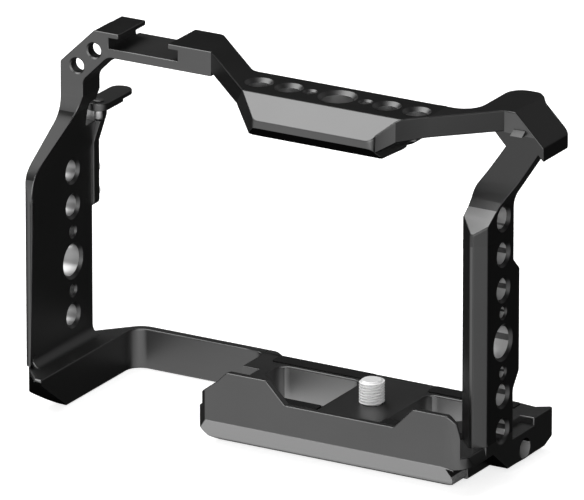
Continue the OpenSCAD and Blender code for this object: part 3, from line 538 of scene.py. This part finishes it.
def makeLedge(material):
    size = (ledge["right"] - ledge["left"], ledge["out"] + ledge["sunk"], ledge["high"] - ledge["low"])
    middle = ((ledge["left"] + ledge["right"]) / 2, ledge["wall"] + ledge["sunk"] - size[1] / 2,
              (ledge["low"] + ledge["high"]) / 2)
    bpy.ops.object.select_all(action="DESELECT")
    bpy.ops.mesh.primitive_cube_add(size=1, location=[v * mm for v in middle], scale=[v * mm for v in size])
    piece = bpy.context.active_object
    piece.name = "shoulder_ledge"
    bpy.ops.object.transform_apply(location=True, rotation=True, scale=True)
    for vertex in piece.data.vertices:  # its top edge goes back to the wall
        p = vertex.co / mm
        if p.z > middle[2] and p.y < middle[1]:
            vertex.co.y = (ledge["wall"] - ledge["topOut"]) * mm
    breakEdges(piece, ledge["rim"], ledge["rimSegments"], ledge["sharpFrom"])
    finishPiece(piece, "cage", material, "frame")


# the front face is split at the ledge, so that the part above it can be lighter, with the plain shade instead of the
# painted shade
def splitShoulder(piece):
    pick(piece)
    selectBy("faces")
    for part in list(piece.data.vertices) + list(piece.data.edges):
        part.select = False
    for face in piece.data.polygons:
        onWall = abs(face.center.y / mm - ledge["wall"]) < ledge["near"]
        face.select = face.normal.y < ledge["frontNormal"] and onWall
    bpy.ops.object.mode_set(mode="EDIT")
    bpy.ops.mesh.bisect(plane_co=(0, 0, ledge["low"] * mm), plane_no=(0, 0, 1), threshold=cutReach)
    bpy.ops.mesh.select_all(action="DESELECT")
    bpy.ops.object.mode_set(mode="OBJECT")


reshape = {"left_panel": roundPanel, "bottom_arm": roundFoot, "base_plate": slopePlate, "top_bar": lowerBar,
           "right_shoulder": splitShoulder}

# faces with painted shade or painted light of their own: sections, finish, and the test of normal and centre
frameFaces = [
    # slopes under the front, out of the light, with painted shade near black
    (["bottom_arm", "top_bar", "base_plate"], "paintedShadeUnder", lambda n, c: n.z < -0.3 and n.y < -0.3),
    # the slope below the column, with painted shade
    (["left_panel"], "paintedShadeSlant", lambda n, c: n.z > 0.5 and n.y < -0.3 and c.z > 58),
    # back walls of the two windows, painted lighter: painted light where the lip shades them
    (["base_plate"], "paintedLightPocketWall", lambda n, c: n.y < -0.9 and 15 < c.y < 16.5 and c.x < 53 and c.z < 10),
    # the foot's tip, with painted shade
    (["bottom_arm"], "paintedShadeUnder", lambda n, c: c.y < -16 and n.z < 0.2 and n.y < -0.2),
    # the top, the diagonal's side and the arm's side, with painted shade
    (["top_bar", "cold_shoe_block"], "paintedShadeTop", lambda n, c: n.z > 0.95 and c.z > 93.5),
    (["top_bar", "cold_shoe_block"], "paintedShadeTop", lambda n, c: n.x < -0.65 and n.y < -0.65 and c.y > -21),
    (["top_bar", "right_shoulder"], "paintedShadeTop", lambda n, c: c.x > 39.9 and n.x > 0.6 and n.y < -0.6 and c.z > 85),
    # painted light on the strut's knee, where the top light falls, and the face above the ledge back to the plain
    # shade, lighter than the painted shade around it for the front light
    (["right_shoulder"], "paintedLightKnee", lambda n, c: n.z > 0.75 and n.y < -0.5 and c.z < 69.8),
    (["right_shoulder"], "blackAnodised", lambda n, c: n.y < -0.97 and c.x > 59.1 and c.z > ledge["low"]),
    # painted highlight: the toe's rounding is as light as the bevel beside it
    (["front_lip"], "paintedHighlightLipToe", lambda n, c: n.x > 0.3 and n.z < -0.05 and c.z < 4.5),
    # the right panel's front faces back to the plain shade, lighter than the painted shade on the rest of the panel
    (["right_panel"], "blackAnodised", lambda n, c: n.y < -0.97),
]


def makeFrame():
    finishes = {name: anodisedFinish(name, more) for name, more in frameFinishes.items()}
    surfaces = {}
    for node in frameSections:
        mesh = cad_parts[node].data
        corners = [v.co.copy() for v in mesh.vertices]
        surfaces[node] = BVHTree.FromPolygons(corners, [tuple(p.vertices) for p in mesh.polygons])
    for node, section in frameSections.items():
        piece = copyOfNode(node, "machined_" + node)
        if node in reshape:
            reshape[node](piece)
        weighRims(piece, node, [surfaces[other] for other in frameSections if other != node])
        bevelPiece(piece, width=frameRims["width"] * mm, segments=frameRims["segments"], limit_method="WEIGHT",
                   use_clamp_overlap=False, miter_outer="MITER_SHARP", profile=0.5)
        finishPiece(piece, "cage", finishes[section.get("finish", "blackAnodised")], "frame", node)
        if "walls" in section:
            paintHoleWalls(piece, node, finishes[section["walls"]])
        for nodes, finish, test in frameFaces:
            if node in nodes:
                paint(piece, finishes[finish], test)
    # the ledge takes the right side's painted shade
    makeLedge(finishes["paintedShadeRight"])
    print("frame sections finished")


# captive screw: shaft turned down to the thread's root, with the thread's ridge wound around it
screwThread = {"centre": (lensX, 4.15), "root": 2.78, "crest": 3.17, "pitch": 0.72, "from": 10.5, "to": 15.95, "steps": 40,
               "shaftFrom": 10.41, "sunk": 0.15, "closeAt": 0.99, "spareTurns": 3, "smoothWithin": 20,
               "flanks": [("root", 0.06), ("crest", 0.42), ("crest", 0.58), ("root", 0.94)],
               "rim": 0.2, "rimSegments": 3, "sharpFrom": 30}


def makeCameraScrew(steel):
    t = screwThread
    cx, cy = t["centre"]
    piece = copyOfNode("camera_screw", "captive_camera_screw")
    for vertex in piece.data.vertices:
        p = vertex.co / mm
        out = math.hypot(p.x - cx, p.y - cy)
        if p.z > t["shaftFrom"] and out > t["root"]:
            k = t["root"] / out
            vertex.co = Vector((cx + (p.x - cx) * k, cy + (p.y - cy) * k, p.z)) * mm
    breakEdges(piece, t["rim"], t["rimSegments"], t["sharpFrom"])
    finishPiece(piece, "screw", steel, "steel", "camera_screw")
    ridge = makeThreadRidge(t, cx, cy)
    finishPiece(ridge, "screw", steel, "steel")
    print("camera screw threaded")


# the ridge's section is drawn from point to point on one side of the axis, wound up, closed, and cut off flat
def makeThreadRidge(t, cx, cy):
    bpy.ops.object.select_all(action="DESELECT")
    selectBy("vertices")
    bpy.ops.mesh.primitive_plane_add(size=mm)
    ridge = bpy.context.active_object
    ridge.name = "camera_screw_thread"
    bpy.ops.object.mode_set(mode="EDIT")
    bpy.ops.mesh.select_all(action="SELECT")
    bpy.ops.mesh.merge(type="CENTER")
    place = start = (t["root"] - t["sunk"], t["from"] - t["pitch"])
    bpy.ops.transform.translate(value=(start[0] * mm, 0, start[1] * mm))
    for r, rise in [(t[name], rise) for name, rise in t["flanks"]] + [(start[0], t["closeAt"])]:
        nextPlace = (r, start[1] + rise * t["pitch"])
        step = ((nextPlace[0] - place[0]) * mm, 0, (nextPlace[1] - place[1]) * mm)
        bpy.ops.mesh.extrude_region_move(TRANSFORM_OT_translate={"value": step})
        place = nextPlace
    bpy.ops.mesh.select_all(action="SELECT")
    bpy.ops.mesh.edge_face_add()
    bpy.ops.mesh.delete(type="ONLY_FACE")
    bpy.ops.object.mode_set(mode="OBJECT")
    turns = int((t["to"] - t["from"]) / t["pitch"]) + t["spareTurns"]
    applyModifier(ridge, "wind", "SCREW", angle=math.radians(360), screw_offset=t["pitch"] * mm, iterations=turns,
                  steps=t["steps"], render_steps=t["steps"], use_merge_vertices=False)
    bpy.ops.object.mode_set(mode="EDIT")
    bpy.ops.mesh.select_all(action="SELECT")
    bpy.ops.mesh.fill_holes(sides=0)
    bpy.ops.mesh.normals_make_consistent(inside=False)
    for z, above in [(t["from"], False), (t["to"], True)]:
        bpy.ops.mesh.select_all(action="SELECT")
        bpy.ops.mesh.bisect(plane_co=(0, 0, z * mm), plane_no=(0, 0, 1), use_fill=True, threshold=cutReach,
                            clear_inner=not above, clear_outer=above)
    bpy.ops.mesh.select_all(action="SELECT")
    bpy.ops.transform.translate(value=(cx * mm, cy * mm, 0))
    bpy.ops.mesh.select_all(action="DESELECT")
    bpy.ops.object.mode_set(mode="OBJECT")
    smooth(ridge, t["smoothWithin"])
    return ridge


# the strap clip's pieces: body, finish, slot, and the width of their broken edges
clipPieces = {
    "clip_bracket": ("cage", "clipBlack", "frame", 0.18),
    "clip_tongue": ("tongue", "clipBlack", "frame", 0.22),
    "clip_pivot_pin": ("cage", "blackenedPin", "steel", 0.06),
    "clip_screws": ("cage", "platedSteel", "steel", 0.08),
}
clipRims = {"segments": 3, "sharpFrom": 34}
# painted light on the bracket's front faces
clipFrontPaintedLight = {"shade": 0.4, "lighter": 0.48, "rub": 0.0}
pads = {"nodes": ["rear_left_pad", "rear_right_pad", "front_left_pad", "front_right_pad"], "smoothWithin": 30}


def makeSmallParts():
    finishes = {"clipBlack": anodisedFinish("clipBlack", {}), "platedSteel": platedFinish("platedSteel", {}),
                "blackenedPin": platedFinish("blackenedPin", blackenedPin)}
    paintedLightFront = anodisedFinish("clipFrontPaintedLight", clipFrontPaintedLight)
    soft = rubberFinish("padRubber")
    for node in pads["nodes"]:
        piece = copyOfNode(node, "moulded_" + node)
        smooth(piece, pads["smoothWithin"])
        finishPiece(piece, "cage", soft, "rubber", node)
    for node, (body, finish, slot, rim) in clipPieces.items():
        piece = copyOfNode(node, "finished_" + node)
        breakEdges(piece, rim, clipRims["segments"], clipRims["sharpFrom"])
        finishPiece(piece, body, finishes[finish], slot, node)
        if node == "clip_bracket":
            # painted light on the bracket's front faces
            paint(piece, paintedLightFront, lambda n, c: n.y < -0.3)
    makeCameraScrew(finishes["platedSteel"])
    print("small parts finished")


makeCamera()
makeStage()
makeLights()
makeFrame()
makeSmallParts()
